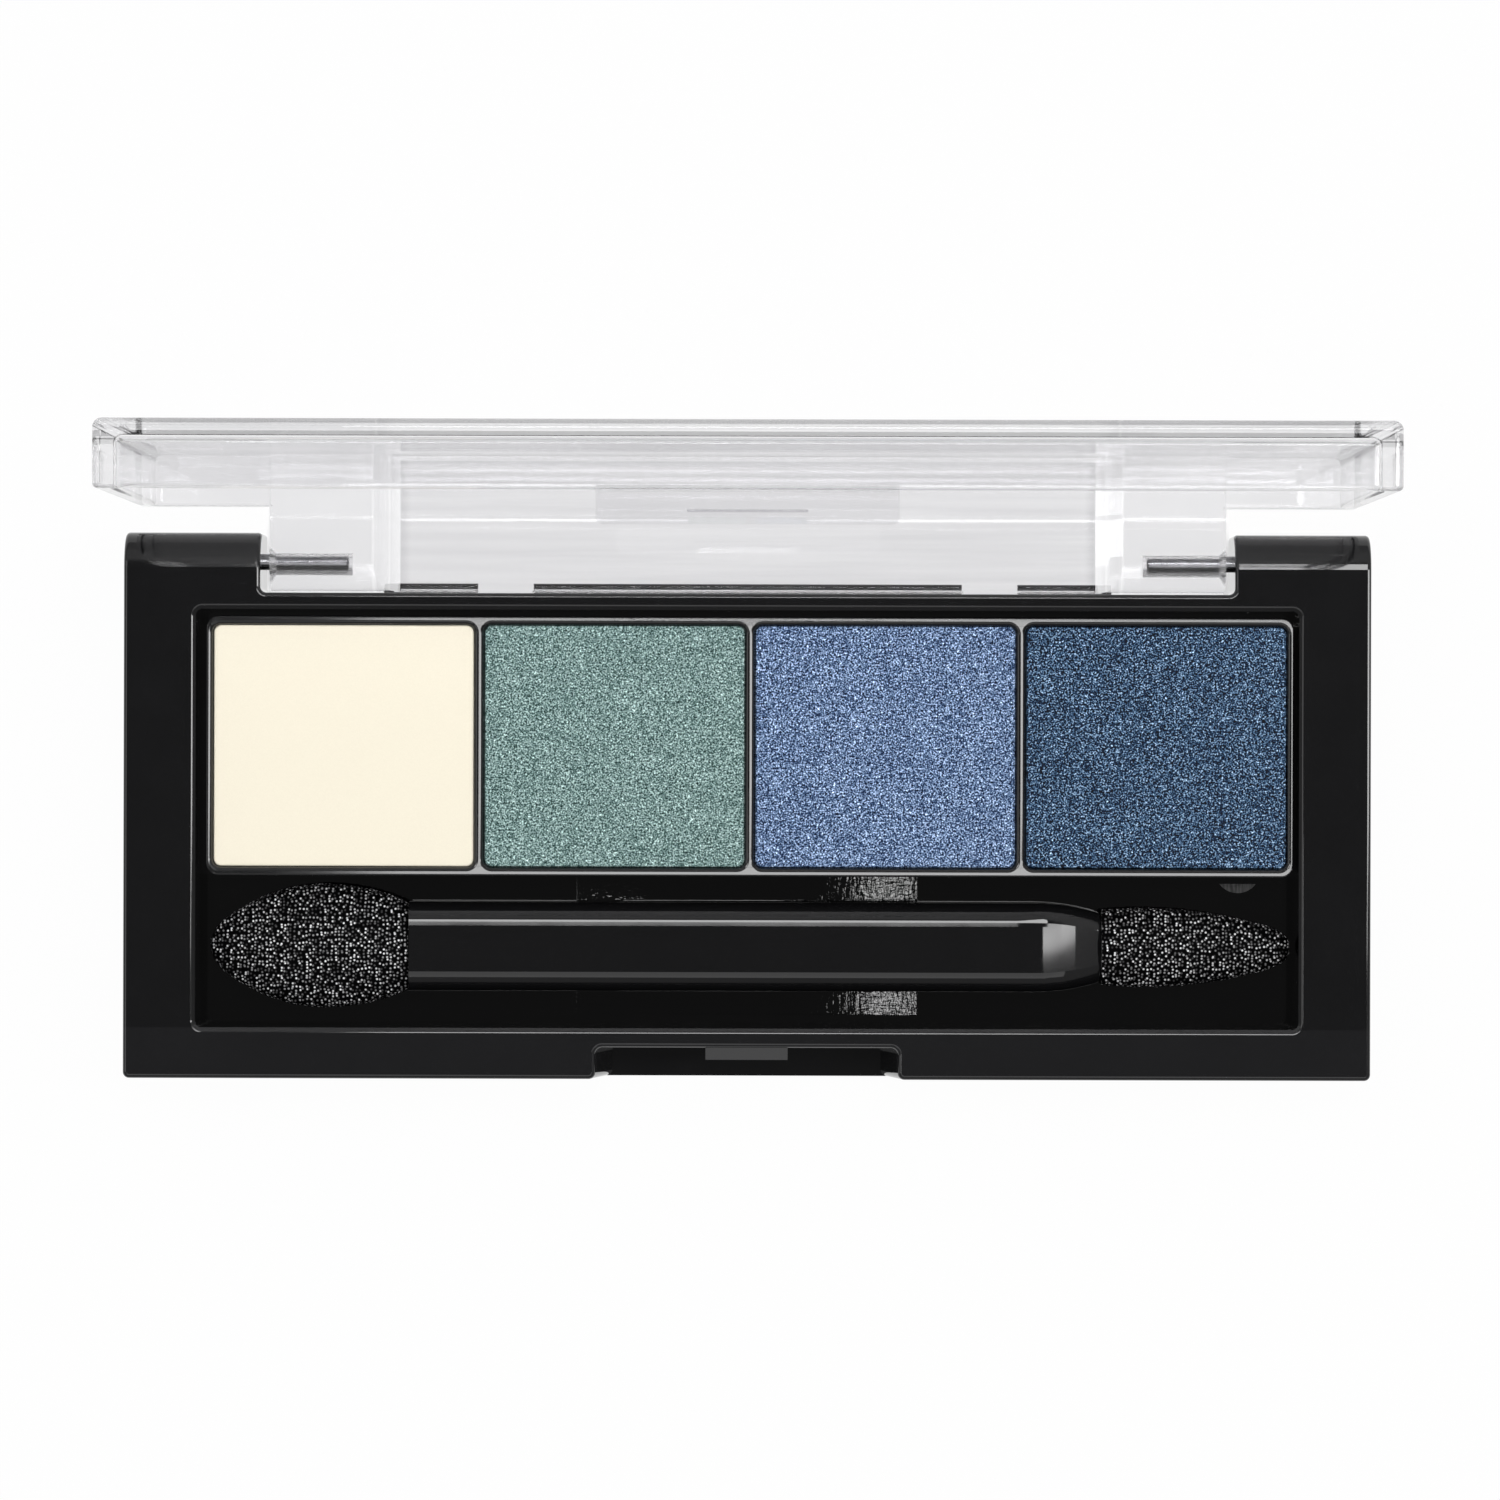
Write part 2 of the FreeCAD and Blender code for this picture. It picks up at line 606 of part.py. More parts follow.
def make_pan(index, colour):
    body = new_body(f"pan_{colour}")
    block(body, "outside", "pan_width", "pan_length", "0", "pan_height")
    block(body, "inside", INSIDE_WIDTH, INSIDE_LENGTH, "pan_wall", "pan_height", kind="Pocket")
    block_corners(body, "inside", INSIDE_WIDTH, INNER_RADIUS)
    block_corners(body, "outside", "pan_width", OUTER_RADIUS)
    round_edges(body, "bottom_edge", "pan_wall", lambda low, high: at(low, high, 2, 0.0))
    put(body, pan_place(index), "tray_middle", "pan_bottom")
    return body


def make_powder(index, colour):
    body = new_body(f"powder_{colour}")
    block(body, "cake", INSIDE_WIDTH, INSIDE_LENGTH, "pan_wall", "pan_height")
    block_corners(body, "cake", INSIDE_WIDTH, INNER_RADIUS)
    block(body, "crown", "pan_width", "pan_length", "pan_height", "pan_height + powder_crown")
    block_corners(body, "crown", "pan_width", OUTER_RADIUS)
    top = size("pan_height + powder_crown")
    round_edges(body, "edge", "powder_edge_radius", lambda low, high: at(low, high, 2, top))
    put(body, pan_place(index), "tray_middle", "pan_bottom")
    return body


def make_glue(index, colour):
    dot = doc.addObject("Part::Cylinder", f"glue_{colour}")
    dot.Label = f"glue_{colour}"
    dot.setExpression("Radius", bound("glue_diameter / 2"))
    dot.setExpression("Height", bound("glue_thickness"))
    put(dot, pan_place(index), "tray_middle", "glue_bottom")
    return dot


def make_pin(side, start):
    body = new_body(f"hinge_pin_{side}")
    profile = new_sketch(body, "profile", "XY")
    polygon(
        profile,
        [
            ("0", "0"),
            ("pin_length", "0"),
            ("pin_length", "pin_diameter / 2 - pin_chamfer"),
            ("pin_length - pin_chamfer", "pin_diameter / 2"),
            ("pin_chamfer", "pin_diameter / 2"),
            ("0", "pin_diameter / 2 - pin_chamfer"),
        ],
    )
    turn(body, "Revolution", profile)
    put(body, start, "pin_y", "pin_height")
    return body


def both_sides(sketch, points):
    """An outline on the right and its mirror image on the left."""
    polygon(sketch, points)
    polygon(sketch, [(f"-({x})", y) for x, y in reversed(points)])


def make_lid():
    body = new_body("lid")
    shell = new_sketch(body, "shell", "XY", "rim_z")
    rectangle(shell, "-lid_half", "lid_half", "lid_front", "pin_back_offset")
    extrude(body, "Pad", shell, "lid_depth")
    round_edges(body, "corners", "lid_corner_radius", upright)
    top = size("lid_top")
    round_edges(body, "top_edge", "lid_edge_radius", lambda low, high: at(low, high, 2, top))
    cavity = new_sketch(body, "cavity", "XY", "rim_z")
    rectangle(
        cavity,
        "lid_wall - lid_half",
        "lid_half - lid_wall",
        "lid_front + lid_wall",
        "pin_back_offset - lid_wall",
    )
    extrude(body, "Pocket", cavity, "lid_depth - lid_panel", reverse=True)
    inside = size("lid_half - lid_wall")
    ceiling = size("lid_ceiling")
    round_edges(
        body, "cavity_corners", "lid_inner_radius",
        lambda low, high: upright(low, high) and same(abs(low[0]), inside),
    )
    round_edges(
        body, "ceiling_edge", "lid_inner_radius", lambda low, high: at(low, high, 2, ceiling)
    )

    rim = size("rim_z")
    round_edges(body, "rim_edges", "lid_rim_radius", lambda low, high: at(low, high, 2, rim))

    plate = new_sketch(body, "hinge_plate", "XY", "plate_end")
    rectangle(plate, "-block_end", "block_end", "plate_inside", "pin_back_offset")
    extrude(body, "Pad", plate, f"lid_ceiling + {OVERLAP} - plate_end")
    plate_end = size("plate_end")
    outside = size("pin_back_offset")
    round_edges(
        body, "plate_end", "plate_round",
        lambda low, high: at(low, high, 2, plate_end) and at(low, high, 1, outside),
    )
    blocks = new_sketch(body, "hinge_blocks", "XY", "plate_end")
    both_sides(
        blocks,
        [
            ("block_start", "-knuckle_radius"),
            ("block_end", "-knuckle_radius"),
            ("block_end", "pin_back_offset"),
            ("taper_start", "pin_back_offset"),
            ("taper_start", "plate_inside"),
        ],
    )
    extrude(body, "Pad", blocks, f"lid_ceiling + {OVERLAP} - plate_end")
    knuckles = new_sketch(body, "knuckles", "YZ")
    arc_segment(
        knuckles,
        [
            ("-knuckle_radius", "0"),
            (f"-knuckle_radius - {OVERCUT}", "0"),
            (f"-knuckle_radius - {OVERCUT}", f"-knuckle_radius - {OVERCUT}"),
            ("0", f"-knuckle_radius - {OVERCUT}"),
            ("0", "-knuckle_radius"),
        ],
        ("-knuckle_radius * sqrt(0.5)", "-knuckle_radius * sqrt(0.5)"),
        "knuckle_radius",
    )
    extrude(body, "Pocket", knuckles, f"2 * block_end + {OVERCUT}", symmetric=True)
    lugs = new_sketch(body, "stop_lugs", "XY", "lug_end")
    both_sides(
        lugs,
        [
            ("lug_offset - lug_width / 2", "plate_inside"),
            ("lug_offset + lug_width / 2", "plate_inside"),
            ("lug_offset + lug_width / 2", "pin_back_offset"),
            ("lug_offset - lug_width / 2", "pin_back_offset"),
        ],
    )
    extrude(body, "Pad", lugs, f"plate_end - lug_end + plate_round + {OVERLAP}")
    bores = new_sketch(body, "pin_bores", "XY")
    both_sides(
        bores,
        [
            ("bore_end", "0"),
            ("block_end", "0"),
            ("block_end", "bore_radius + bore_lead"),
            ("block_end - bore_lead", "bore_radius"),
            ("bore_end", "bore_radius"),
        ],
    )
    turn(body, "Groove", bores)

    tab = new_sketch(body, "thumb_tab", "XY", "tab_end")
    rectangle(tab, "-tab_width / 2", "tab_width / 2", "lid_front", "tab_inside")
    extrude(body, "Pad", tab, f"tab_reach + lid_rim_radius + {OVERLAP}")
    tab_end = size("tab_end")
    tab_half = size("tab_width / 2")
    round_edges(
        body, "tab_corners", "tab_corner_radius",
        lambda low, high: at(low, high, 2, tab_end) and same(abs(low[0]), tab_half)
        and at(low, high, 0, low[0]),
    )
    hook = new_sketch(body, "hook", "YZ")
    polygon(
        hook,
        [
            (f"tab_inside - {OVERLAP}", "hook_top"),
            (f"tab_inside - {OVERLAP}", "tab_end"),
            ("tab_inside", "tab_end"),
            ("hook_tip", "hook_top - hook_nose"),
            ("hook_tip", "hook_top"),
        ],
    )
    extrude(body, "Pad", hook, "hook_width", symmetric=True)
    body.Placement = FreeCAD.Placement(
        FreeCAD.Vector(), FreeCAD.Rotation(FreeCAD.Vector(1, 0, 0), OPEN_ANGLE)
    )
    put(body, "0", "pin_y", "pin_height")
    return body


def nose_outline(sketch, half, end_half, radius):
    """The strips beside the nose, each bounded by an arc that leaves the straight side smoothly."""
    middle = f"{half} - ({radius} - sqrt(({radius}) ^ 2 - (nose_length / 2) ^ 2))"
    for sign in ("", "-"):
        arc_segment(
            sketch,
            [
                ("nose_start", f"{sign}({half})"),
                ("nose_start", f"{sign}({half} + {OVERCUT})"),
                (f"handle_end + {OVERCUT}", f"{sign}({half} + {OVERCUT})"),
                (f"handle_end + {OVERCUT}", f"{sign}({end_half})"),
                ("handle_end", f"{sign}({end_half})"),
            ],
            ("nose_start + nose_length / 2", f"{sign}({middle})"),
            radius,
        )


def make_handle():
    body = new_body("applicator_handle")
    section = new_sketch(body, "section", "YZ", "handle_start")
    rectangle(
        section,
        "-handle_width / 2", "handle_width / 2",
        "-handle_thickness / 2", "handle_thickness / 2",
    )
    extrude(body, "Pad", section, "handle_length")
    sides = new_sketch(body, "nose_sides", "XY")
    nose_outline(sides, "handle_width / 2", "nose_half_width", "nose_side_radius")
    extrude(body, "Pocket", sides, f"handle_thickness + {OVERCUT}", symmetric=True)
    faces = new_sketch(body, "nose_faces", "XZ")
    nose_outline(faces, "handle_thickness / 2", "nose_half_thickness", "nose_top_radius")
    extrude(body, "Pocket", faces, f"handle_width + {OVERCUT}", symmetric=True)
    half_nose = size("nose_length / 2")
    round_edges(
        body, "long_edges", "handle_round", lambda low, high: high[0] - low[0] > half_nose
    )
    end = size("handle_end")
    round_edges(body, "nose_edge", "nose_round", lambda low, high: at(low, high, 0, end))
    for name, start, width, reverse in (
        ("oval_paddle", "handle_start", "oval_paddle_width", True),
        ("point_paddle", "handle_end", "point_paddle_width", False),
    ):
        paddle = new_sketch(body, name, "YZ", start)
        rectangle(
            paddle,
            f"-{width} / 2", f"{width} / 2", "-paddle_thickness / 2", "paddle_thickness / 2",
        )
        extrude(body, "Pad", paddle, "paddle_length", reverse=reverse)
    put(body, "0", "applicator_y", "applicator_z")
    return body


def oval_section(x, half_width, half_height):
    """A closed section of four tangent arcs, across the applicator's axis."""
    side_radius = 0.6 * min(half_height, half_width)
    side_centre = half_width - side_radius
    spare = half_height - side_radius
    drop = (side_centre ** 2 - spare ** 2) / (2 * spare)
    slant = math.hypot(side_centre, drop)
    join_y = side_centre + side_radius * side_centre / slant
    join_z = side_radius * drop / slant

    def point(y, z):
        return FreeCAD.Vector(x, y, z)

    return Part.Wire(
        [
            Part.Arc(point(-join_y, join_z), point(0, half_height), point(join_y, join_z)).toShape(),
            Part.Arc(point(join_y, join_z), point(half_width, 0), point(join_y, -join_z)).toShape(),
            Part.Arc(point(join_y, -join_z), point(0, -half_height), point(-join_y, -join_z)).toShape(),
            Part.Arc(point(-join_y, -join_z), point(-half_width, 0), point(-join_y, join_z)).toShape(),
        ]
    )


def arc_half(place, length, widest, widest_size, tip_size, end_size):
    """Half the sponge's size at a place from its tip: one arc to the tip and one to the handle."""
    reach = widest if place < widest else length - widest
    fall = (widest_size - (tip_size if place < widest else end_size)) / 2
    radius = (reach ** 2 + fall ** 2) / (2 * fall)
    return widest_size / 2 - radius + math.sqrt(radius ** 2 - (place - widest) ** 2)


TIP_ANGLES = [20, 50, 90]
BODY_STEPS = 7


def make_sponge(kind, base, direction):
    """A foam tip: a loft through ovals whose sizes follow arcs, with a slot for its paddle."""
    length = size(f"{kind}_length")
    widest = size(f"{kind}_widest")
    width = [size(f"{kind}_{part}") for part in ("width", "tip_width", "end_width")]
    thick = [size(f"{kind}_{part}") for part in ("thickness", "tip_thickness", "end_thickness")]
    tip_round = size(f"{kind}_tip_round")
    stations = []
    for angle in TIP_ANGLES:
        turned = math.radians(angle)
        stations.append((tip_round * (1 - math.cos(turned)), math.sin(turned)))
    for step in range(1, BODY_STEPS + 1):
        stations.append((tip_round + (length - tip_round) * step / BODY_STEPS, 1.0))
    sections = []
    for place, share in stations:
        x = base + direction * (length - place)
        half_width = share * arc_half(place, length, widest, *width)
        half_height = share * arc_half(place, length, widest, *thick)
        sections.append(oval_section(x, half_width, half_height))
    foam = Part.makeLoft(sections, True, False)
    paddle_width = size(f"{kind}_paddle_width")
    paddle_thickness = size("paddle_thickness")
    slot_length = size("paddle_length + paddle_end_gap")
    corner = FreeCAD.Vector(
        base if direction > 0 else base - slot_length, -paddle_width / 2, -paddle_thickness / 2
    )
    slot = Part.makeBox(slot_length, paddle_width, paddle_thickness, corner)
    sponge = doc.addObject("Part::Feature", f"sponge_{kind}")
    sponge.Label = f"sponge_{kind}"
    sponge.Shape = foam.cut(slot)
    put(sponge, "0", "applicator_y", "applicator_z")
    return sponge


pieces = [make_base_case(), make_pan_tray(), make_lid()]
pieces.append(make_pin("left", "-pin_start"))
pieces.append(make_pin("right", "pin_end"))
for index, colour in enumerate(POWDERS):
    pieces.append(make_pan(index, colour))
    pieces.append(make_powder(index, colour))
    pieces.append(make_glue(index, colour))
pieces.append(make_handle())
pieces.append(make_sponge("oval", size("handle_start"), -1))
pieces.append(make_sponge("point", size("handle_end"), 1))
doc.recompute()

for item in doc.Objects:
    if "Invalid" in item.State or "Error" in item.State:
        raise RuntimeError(f"{item.Label} is {item.State}")
for piece in pieces:
    if piece.Shape.isNull() or not piece.Shape.isValid() or len(piece.Shape.Solids) != 1:
        raise RuntimeError(f"{piece.Label} is not one valid solid")

os.makedirs("parts", exist_ok=True)
for piece in pieces:
    piece.Shape.exportStep(os.path.join("parts", f"{piece.Label}.step"))
    print(f"{piece.Label}: {piece.Shape.Volume:.2f} mm3")
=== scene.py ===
"""Looks of the open eyeshadow palette: gloss black case, clear lid, powders and foam tips."""

import math

import bmesh
import bpy
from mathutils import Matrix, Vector, noise


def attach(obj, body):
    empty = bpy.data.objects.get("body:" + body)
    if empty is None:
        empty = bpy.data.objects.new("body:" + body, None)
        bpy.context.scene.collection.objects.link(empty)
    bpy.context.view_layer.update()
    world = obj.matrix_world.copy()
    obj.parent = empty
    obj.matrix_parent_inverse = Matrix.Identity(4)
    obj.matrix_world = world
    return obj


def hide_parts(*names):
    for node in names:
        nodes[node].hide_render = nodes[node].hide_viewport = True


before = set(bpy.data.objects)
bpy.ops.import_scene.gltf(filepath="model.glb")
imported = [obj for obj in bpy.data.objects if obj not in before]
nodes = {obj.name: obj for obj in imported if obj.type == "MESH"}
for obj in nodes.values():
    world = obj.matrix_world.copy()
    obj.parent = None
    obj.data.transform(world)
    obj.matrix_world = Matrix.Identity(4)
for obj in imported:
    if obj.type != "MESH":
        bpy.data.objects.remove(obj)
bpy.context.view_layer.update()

MM = 0.001

# Places on the case, the tray and the handle that their finishes follow, as in the part's source
TROUGH_FLOOR = 1.5 * MM
TROUGH_SHADE = 4.0 * MM
FRAME_TOP = 7.0 * MM
TRAY_FRONT = -5.2 * MM
RECESS_FRONT = -16.4 * MM
RECESS_HALF = 40.7 * MM
SCOOP_HALF = 12.7 * MM
SCOOP_LIP = 0.004 * MM
SCOOP_SMOOTH_END = 2.0 * MM
SCOOP_COARSE_START = 4.0 * MM
MARK_X = 36.6 * MM
MARK_Y = -4.73 * MM
MARK_RADIUS = 1.7 * MM
MARK_EDGE = -5.75 * MM
LONG_RIDGES = [-4.875 * MM, 13.675 * MM]
SHORT_RIDGES = [place * MM for place in (-39.7, -19.8, 0.2, 20.2, 40.1)]
RIDGE_HALF = 0.36 * MM
HANDLE_LEAN_START = -8.87 * MM
NOSE_START = 20.9 * MM

# Places on the open lid: the slope from the hinge plate to each block, the panel and the skirt
LID_LOW = 12.0 * MM
LID_HIGH = 30.0 * MM
TAPER_START = 25.85 * MM
PLATE_EDGE = 0.9 * MM
BLOCK_START = 27.75 * MM
BLOCK_GAP = 0.1 * MM
PANEL_INSIDE = 25.6 * MM
PANEL_GAP = 0.1 * MM
PANEL_RIM = 40.8 * MM
SKIRT_PALE = 42.0 * MM
SKIRT_GREY = 22.0 * MM
SKIRT_LINE = 26.4 * MM
SKIRT_RIM = 22.0 * MM
HOOK_HALF = 4.2 * MM
HOOK_LINE = 20.7 * MM

# Slopes that the finishes give to the ridges and to the handle's top
LONG_LEAN = 0.11
SHORT_LEAN = 0.21
HANDLE_LEAN = -0.069

# Where most of a noise texture's values lie
NOISE_LOW = 0.3
NOISE_MIDDLE = 0.5
NOISE_HIGH = 0.7

# Gloss black
CASE_POLISH = 0.05
TRAY_POLISH = 0.06
HANDLE_POLISH = 0.025
POLISH_SWING = 0.012
CASE_DEEP = (0.0006, 0.0006, 0.0007)
CASE_PALE = (0.0115, 0.0115, 0.0125)
CASE_SHARE = 0.35
CASE_FRONT_SHEEN_SHARE = 0.42
CASE_CLOUD_SHARE = 0.2
PLAIN_DEEP = (0.005, 0.005, 0.0055)
PLAIN_PALE = (0.0065, 0.0065, 0.007)
MARK_GREY = (0.13, 0.13, 0.13)
SCOOP_POLISH = 0.8
SCOOP_RELIEF = 0.02 * MM

# Clear plastic: its clear colour, the grey of its painted shade, and the share of the view that
# passes straight
LID_SHADE_GREY = (0.62, 0.615, 0.635)
LID_CLEAR = (0.985, 0.984, 0.99)
LID_STRAIGHT = (0.87, 0.868, 0.876, 1.0)
STRAIGHT_LEAST = 0.22
STRAIGHT_MOST = 0.27
STRAIGHT_AT_RIM = 0.6
SMEAR_HIGH = 0.75
SMEAR_ROUGHNESS = 0.015
FLOW_RELIEF = 0.2 * MM

# Metals and glue: the darker and the paler end of each colour
STEEL_DARK = (0.2, 0.2, 0.21)
STEEL_PALE = (0.34, 0.34, 0.35)
STEEL_ROUGHNESS = 0.2
STEEL_STREAKS = (300.0, 9000.0, 9000.0)
PAN_DARK = (0.62, 0.62, 0.63)
PAN_PALE = (0.8, 0.8, 0.81)
PAN_ROUGHNESS = 0.3
PAN_STREAKS = (900.0, 900.0, 6000.0)
STREAK_ROUGHNESS = 0.12
STREAK_RELIEF = 0.01 * MM
GLUE_DARK = (0.5, 0.46, 0.36)
GLUE_PALE = (0.66, 0.62, 0.52)
GLUE_RELIEF = 0.05 * MM

# Powders: display colour of 0 to 255, swing of the grain and strength of the painted glints
SHIMMER = {
    "cream": ((254, 246, 225), 1.0, 0.0),
    "green": ((111, 138, 135), 60.0, 0.16),
    "blue": ((84, 108, 144), 81.0, 0.2),
    "navy": ((25, 55, 86), 92.0, 0.24),
}
DISPLAY_STEPS = 255
DISPLAY_GAMMA = 2.2
POWDER_GRAINS = 8000.0
POWDER_CLOUDS = 420.0
POWDER_GLINTS = 3300.0
GLINT_LOW = 0.66
GLINT_HIGH = 0.82
GRAIN_SPREAD = 0.115
CLOUD_SPREAD = 0.35
POWDER_DARKEST = (0.02, 0.03, 0.04)
POWDER_RELIEF = 0.03 * MM

# Foam: the size of its mesh, its pits and its painted glints
FOAM_VOXEL = 0.13 * MM
FOAM_MERGE = 0.002 * MM
FOAM_PIT = 0.1 * MM
PITS_A_METRE = 2700.0
PIT_MIDDLE = 0.35
PIT_EDGE = 0.7
GLINTS_A_METRE = 3700.0
GLINT_EDGE = 0.36
GLINT_CORE = 0.17
GLINT_FALL = 2.2
GLINT_MOST = 1.1
GLINT_LEAST = 0.05
FOAM_DEEP = (0.0008, 0.0008, 0.001)
FOAM_PAINTED_GLINT = (0.9, 0.9, 0.92)
FOAM_RELIEF = 0.1 * MM

# The floor, darker where the hinge notch shades it
FLOOR_DARK = (0.78, 0.78, 0.79)
FLOOR_PALE = (0.8, 0.8, 0.81)
FLOOR_HALF = 3.0
FLOOR_DROP = 0.05 * MM
FLOOR_GLOW = 0.97
GLOW_THROUGH_LID = 0.1
NOTCH_HALF = 36.0 * MM
NOTCH_BACK = 20.15 * MM
NOTCH_BLUR = 1.5 * MM
NOTCH_SHADE = 0.4

# The room: dark overhead and in front, so that flat gloss black stays black, and dim behind
OVERHEAD = 0.12
BEHIND = 0.52
THROUGH_LID = 0.74

# Light panels: place, size, brightness and the point they are turned to
LIGHTS = {
    "back_panel": ((0.06, 0.22, 0.95), (0.28, 0.24), 10.5, (0.06, 0.0, 0.0)),
    "front_panel": ((0.0, -0.36, 0.95), (0.9, 0.5), 1.1, (0.0, 0.0, 0.0)),
    "right_panel": ((0.707, 0.028, 0.843), (0.1, 0.8), 11.0, (0.0, 0.0, 0.0)),
    "right_strip": ((0.325, -0.0325, 0.9), (0.35, 0.007), 10.0, (0.325, -0.0325, 0.0)),
    "left_strip": ((-0.2, -0.035, 0.9), (0.038, 0.045), 13.0, (-0.2, -0.035, 0.0)),
    "left_panel": ((-0.75, 0.1, 0.75), (0.5, 0.6), 1.3, (0.0, 0.0, 0.0)),
}

# The camera looks straight down, as in the photograph
RIM_HEIGHT = 8.0 * MM
CAMERA_ABOVE_RIM = 540.0 * MM
FRAME_AT_RIM = 1500 / 13.565 * MM
FRAME_CENTRE = (0.2 * MM, 4.15 * MM)
CAMERA_TURN = math.radians(0.15)
SENSOR_WIDTH = 36.0
CLIP_START = 0.01
CLIP_END = 20.0

WHITE = (1.0, 1.0, 1.0, 1.0)
# The places of a Mix node's two colours among its inputs, and of its colour among its outputs
MIX_FIRST = 6
MIX_SECOND = 7
MIX_COLOUR = 2


class Wire:
    """One shader value. Arithmetic on it adds Math nodes to its tree."""

    def __init__(self, tree, socket):
        self.tree = tree
        self.socket = socket

    def add(self, kind, settings=None, sockets=None, out=0):
        """Any node: its settings first, then the values or links of its sockets."""
        node = self.tree.nodes.new(kind)
        for name, value in (settings or {}).items():
            setattr(node, name, value)
        for name, value in (sockets or {}).items():
            if isinstance(value, Wire):
                self.tree.links.new(value.socket, node.inputs[name])
            else:
                node.inputs[name].default_value = value
        return Wire(self.tree, node.outputs[out])

    def maths(self, operation, first, second=None):
        values = {0: first} if second is None else {0: first, 1: second}
        return self.add("ShaderNodeMath", {"operation": operation}, values)

    def __add__(self, other):
        return self.maths("ADD", self, other)

    def __radd__(self, other):
        return self.maths("ADD", other, self)

    def __sub__(self, other):
        return self.maths("SUBTRACT", self, other)

    def __rsub__(self, other):
        return self.maths("SUBTRACT", other, self)

    def __mul__(self, other):
        return self.maths("MULTIPLY", self, other)

    def __rmul__(self, other):
        return self.maths("MULTIPLY", other, self)

    def __gt__(self, other):
        return self.maths("GREATER_THAN", self, other)

    def __lt__(self, other):
        return self.maths("LESS_THAN", self, other)

    def __pow__(self, other):
        return self.maths("POWER", self, other)

    def __abs__(self):
        return self.maths("ABSOLUTE", self)

    def at_least(self, other):
        """The larger of two values."""
        return self.maths("MAXIMUM", self, other)

    def ramp(self, low, high, start=0.0, end=1.0):
        """This value stretched from low..high to start..end, smoothly and held at both ends."""
        return self.add(
            "ShaderNodeMapRange",
            {"interpolation_type": "SMOOTHSTEP"},
            {"Value": self, "From Min": low, "From Max": high, "To Min": start, "To Max": end},
        )

    def line(self, place, edge, core):
        """One on a line at the given place, fading from core to edge on both sides of it."""
        return abs(self - place).ramp(edge, core)


class Finish:
    """A material with one Principled shader."""

    def __init__(self, name, **constants):
        self.material = bpy.data.materials.new(name)
        self.material.use_nodes = True
        self.tree = self.material.node_tree
        self.tree.nodes.clear()
        self.start = Wire(self.tree, None)
        self.output = self.tree.nodes.new("ShaderNodeOutputMaterial")
        self.shader = self.tree.nodes.new("ShaderNodeBsdfPrincipled")
        self.tree.links.new(self.shader.outputs[0], self.output.inputs["Surface"])
        for socket, value in constants.items():
            self.shader.inputs[socket.replace("_", " ")].default_value = value

    def add(self, kind, settings=None, sockets=None, out=0):
        return self.start.add(kind, settings, sockets, out)

    def place(self):
        """Object coordinates, in metres, in the shared frame."""
        return self.add("ShaderNodeTexCoord", out="Object")

    def axes(self):
        place = {"Vector": self.place()}
        return [self.add("ShaderNodeSeparateXYZ", None, place, out=axis) for axis in "XYZ"]

    def rays(self, kind):
        """One for rays of the named kind, such as Is Camera Ray."""
        return self.add("ShaderNodeLightPath", out=kind)

    def grain(self, scale, detail=2.0, stretch=None, roughness=0.5):
        """Noise over the surface, about half on the whole; scale is in features a metre."""
        place = self.place()
        if stretch:
            place = self.add("ShaderNodeMapping", None, {"Vector": place, "Scale": stretch})
        return self.add(
            "ShaderNodeTexNoise",
            None,
            {"Vector": place, "Scale": scale, "Detail": detail, "Roughness": roughness},
        )

    def feed(self, socket, value):
        self.tree.links.new(value.socket, self.shader.inputs[socket])

    def bump(self, height, strength, distance):
        normal = self.add(
            "ShaderNodeBump", None, {"Height": height, "Strength": strength, "Distance": distance}
        )
        self.feed("Normal", normal)

    def blend(self, share, first, second):
        """A colour between two by a share of 0 to 1."""
        first = first if isinstance(first, Wire) else (*first, 1.0)
        return self.add(
            "ShaderNodeMix",
            {"data_type": "RGBA"},
            {"Factor": share, MIX_FIRST: first, MIX_SECOND: (*second, 1.0)},
            out=MIX_COLOUR,
        )

    def mix_shader(self, share, other):
        """Shows another shader in place of the Principled one by a share of 0 to 1."""
        own = Wire(self.tree, self.shader.outputs[0])
        mixed = self.add("ShaderNodeMixShader", None, {0: share, 1: own, 2: other})
        self.tree.links.new(mixed.socket, self.output.inputs["Surface"])


def gloss_black(name, polish):
    """Moulded gloss plastic, even but for a trace of cloud in its polish."""
    finish = Finish(name, IOR=1.5)
    cloud = finish.grain(260.0, detail=3.0)
    haze = cloud.ramp(NOISE_LOW, NOISE_HIGH, polish, polish + POLISH_SWING)
    finish.feed("Roughness", haze)
    return finish, cloud, haze


